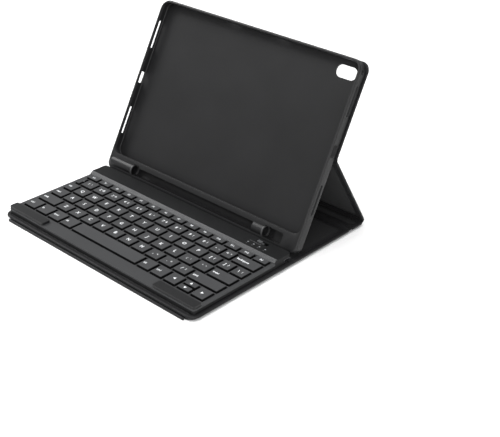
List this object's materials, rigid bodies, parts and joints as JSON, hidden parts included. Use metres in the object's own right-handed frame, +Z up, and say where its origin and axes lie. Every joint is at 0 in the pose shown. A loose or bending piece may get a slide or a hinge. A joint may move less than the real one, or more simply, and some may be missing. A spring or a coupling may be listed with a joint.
{
  "type": "tablet keyboard case",
  "caption": "Folding tablet case in fine-grained synthetic leather with a flexible tray, pen channel, fold-out stand, closing flap and a slim keyboard.",
  "frame": {"origin": "middle of the case's footprint on the table, standing open", "axes": "+X right along the long side, +Y from the typist to the back, +Z up"},
  "size_m": [0.262, 0.2388, 0.1736],
  "materials": {
    "cover_leather": "fine-grained synthetic leather, matt",
    "stiffener": "rigid board, hidden",
    "lining": "brushed microfibre",
    "magnet": "plain",
    "keyboard_plastic": "fine-textured",
    "key_plastic": "fine-textured, pale printed legends",
    "plate_steel": "plain",
    "dome_rubber": "moulded silicone",
    "board_green": "circuit board",
    "battery_foil": "foil pouch",
    "socket_steel": "plain",
    "light_pipe": "clear",
    "screw_steel": "plain",
    "slider_plastic": "satin",
    "tray_tpu": "matt flexible plastic"
  },
  "bodies": {
    "base": {"cover_skin": "cover_leather", "cover_board": "stiffener", "cover_lining": "lining", "front_fold": "cover_leather", "spine_fold": "cover_leather", "holding_magnets": "magnet", "keyboard_tub": "keyboard_plastic", "keyboard_deck": "keyboard_plastic", "corner_bars": "keyboard_plastic", "rear_block": "keyboard_plastic", "key_plate": "plate_steel", "dome_sheet": "dome_rubber", "circuit_board": "board_green", "battery": "battery_foil", "usb_c_socket": "socket_steel", "status_lights": "light_pipe", "keyboard_screws": "screw_steel"},
    "spine": {"spine_skin": "cover_leather", "spine_board": "stiffener", "spine_lining": "lining", "rear_fold": "cover_leather"},
    "stand": {"stand_skin": "cover_leather", "stand_board": "stiffener", "stand_lining": "lining"},
    "foot": {"foot_magnets": "magnet"},
    "tray": {"tray_back": "tray_tpu", "tray_rim_left": "tray_tpu", "tray_rim_right": "tray_tpu", "pen_sleeve": "tray_tpu", "tray_rim_low": "tray_tpu", "tray_foot": "tray_tpu", "upper_skin": "cover_leather", "upper_board": "stiffener", "stand_fold": "cover_leather"},
    "flap_strip": {"strip_skin": "cover_leather", "strip_board": "stiffener", "strip_fold": "cover_leather"},
    "flap": {"flap_skin": "cover_leather", "flap_board": "stiffener", "flap_magnets": "magnet"},
    "switch": {"power_slider": "slider_plastic"},
    "keys_function": {"keys_function": "key_plastic"},
    "keys_number": {"keys_number": "key_plastic"},
    "keys_letter_top": {"keys_letter_top": "key_plastic"},
    "keys_letter_home": {"keys_letter_home": "key_plastic"},
    "keys_letter_low": {"keys_letter_low": "key_plastic"},
    "keys_bottom": {"keys_bottom": "key_plastic"},
    "key_escape": {"key_escape": "key_plastic"},
    "key_backspace": {"key_backspace": "key_plastic"},
    "key_tab": {"key_tab": "key_plastic"},
    "key_caps": {"key_caps": "key_plastic"},
    "key_enter": {"key_enter": "key_plastic"},
    "key_shift_left": {"key_shift_left": "key_plastic"},
    "key_shift_right": {"key_shift_right": "key_plastic"},
    "key_space": {"key_space": "key_plastic"},
    "key_left": {"key_left": "key_plastic"},
    "key_up": {"key_up": "key_plastic"},
    "key_down": {"key_down": "key_plastic"},
    "key_right": {"key_right": "key_plastic"}
  },
  "joints": [
    {"name": "screen_fold", "type": "hinge", "parent": "foot", "child": "tray", "pos_m": [0, 0.02063, 0.00767], "axis": [1, 0, 0], "range_deg": [0, 118]},
    {"name": "foot_travel", "type": "slide", "parent": "base", "child": "foot", "axis": [0, 0.9767, 0.2145], "range_m": [0, 0.06868]},
    {"name": "spine_turn", "type": "hinge", "parent": "base", "child": "spine", "pos_m": [0, 0.0936, 0.0036], "axis": [1, 0, 0], "range_deg": [0, 90]},
    {"name": "stand_turn", "type": "hinge", "parent": "tray", "child": "stand", "pos_m": [0, 0.06593, 0.08563], "axis": [-1, 0, 0], "range_deg": [0, 59.3]},
    {"name": "flap_wrap", "type": "hinge", "parent": "base", "child": "flap_strip", "pos_m": [0, -0.1184, 0.001], "axis": [-1, 0, 0], "range_deg": [0, 270]},
    {"name": "flap_turn", "type": "hinge", "parent": "flap_strip", "child": "flap", "pos_m": [0, -0.0911, 0.001], "axis": [-1, 0, 0], "range_deg": [0, 90]},
    {"name": "switch_slide", "type": "slide", "parent": "base", "child": "switch", "axis": [1, 0, 0], "range_m": [0, 0.004]},
    {"name": "keys_function_press", "type": "slide", "parent": "base", "child": "keys_function", "axis": [0, 0, -1], "range_m": [0, 0.0014], "stiffness_N_per_m": 350, "springref_m": -0.0006},
    {"name": "keys_number_press", "type": "slide", "parent": "base", "child": "keys_number", "axis": [0, 0, -1], "range_m": [0, 0.0014], "stiffness_N_per_m": 350, "springref_m": -0.0006},
    {"name": "keys_letter_top_press", "type": "slide", "parent": "base", "child": "keys_letter_top", "axis": [0, 0, -1], "range_m": [0, 0.0014], "stiffness_N_per_m": 350, "springref_m": -0.0006},
    {"name": "keys_letter_home_press", "type": "slide", "parent": "base", "child": "keys_letter_home", "axis": [0, 0, -1], "range_m": [0, 0.0014], "stiffness_N_per_m": 350, "springref_m": -0.0006},
    {"name": "keys_letter_low_press", "type": "slide", "parent": "base", "child": "keys_letter_low", "axis": [0, 0, -1], "range_m": [0, 0.0014], "stiffness_N_per_m": 350, "springref_m": -0.0006},
    {"name": "keys_bottom_press", "type": "slide", "parent": "base", "child": "keys_bottom", "axis": [0, 0, -1], "range_m": [0, 0.0014], "stiffness_N_per_m": 350, "springref_m": -0.0006},
    {"name": "key_escape_press", "type": "slide", "parent": "base", "child": "key_escape", "axis": [0, 0, -1], "range_m": [0, 0.0014], "stiffness_N_per_m": 350, "springref_m": -0.0006},
    {"name": "key_backspace_press", "type": "slide", "parent": "base", "child": "key_backspace", "axis": [0, 0, -1], "range_m": [0, 0.0014], "stiffness_N_per_m": 350, "springref_m": -0.0006},
    {"name": "key_tab_press", "type": "slide", "parent": "base", "child": "key_tab", "axis": [0, 0, -1], "range_m": [0, 0.0014], "stiffness_N_per_m": 350, "springref_m": -0.0006},
    {"name": "key_caps_press", "type": "slide", "parent": "base", "child": "key_caps", "axis": [0, 0, -1], "range_m": [0, 0.0014], "stiffness_N_per_m": 350, "springref_m": -0.0006},
    {"name": "key_enter_press", "type": "slide", "parent": "base", "child": "key_enter", "axis": [0, 0, -1], "range_m": [0, 0.0014], "stiffness_N_per_m": 350, "springref_m": -0.0006},
    {"name": "key_shift_left_press", "type": "slide", "parent": "base", "child": "key_shift_left", "axis": [0, 0, -1], "range_m": [0, 0.0014], "stiffness_N_per_m": 350, "springref_m": -0.0006},
    {"name": "key_shift_right_press", "type": "slide", "parent": "base", "child": "key_shift_right", "axis": [0, 0, -1], "range_m": [0, 0.0014], "stiffness_N_per_m": 350, "springref_m": -0.0006},
    {"name": "key_space_press", "type": "slide", "parent": "base", "child": "key_space", "axis": [0, 0, -1], "range_m": [0, 0.0014], "stiffness_N_per_m": 350, "springref_m": -0.0006},
    {"name": "key_left_press", "type": "slide", "parent": "base", "child": "key_left", "axis": [0, 0, -1], "range_m": [0, 0.0014], "stiffness_N_per_m": 350, "springref_m": -0.0006},
    {"name": "key_up_press", "type": "slide", "parent": "base", "child": "key_up", "axis": [0, 0, -1], "range_m": [0, 0.0014], "stiffness_N_per_m": 350, "springref_m": -0.0006},
    {"name": "key_down_press", "type": "slide", "parent": "base", "child": "key_down", "axis": [0, 0, -1], "range_m": [0, 0.0014], "stiffness_N_per_m": 350, "springref_m": -0.0006},
    {"name": "key_right_press", "type": "slide", "parent": "base", "child": "key_right", "axis": [0, 0, -1], "range_m": [0, 0.0014], "stiffness_N_per_m": 350, "springref_m": -0.0006}
  ],
  "couplings": [
    {"joint": "foot_travel", "follows": "screen_fold", "m_per_rad": 0.033346},
    {"joint": "spine_turn", "follows": "screen_fold", "ratio": 0.76271},
    {"joint": "stand_turn", "follows": "screen_fold", "ratio": 0.50255},
    {"joint": "flap_turn", "follows": "flap_wrap", "ratio": 0.33333}
  ]
}
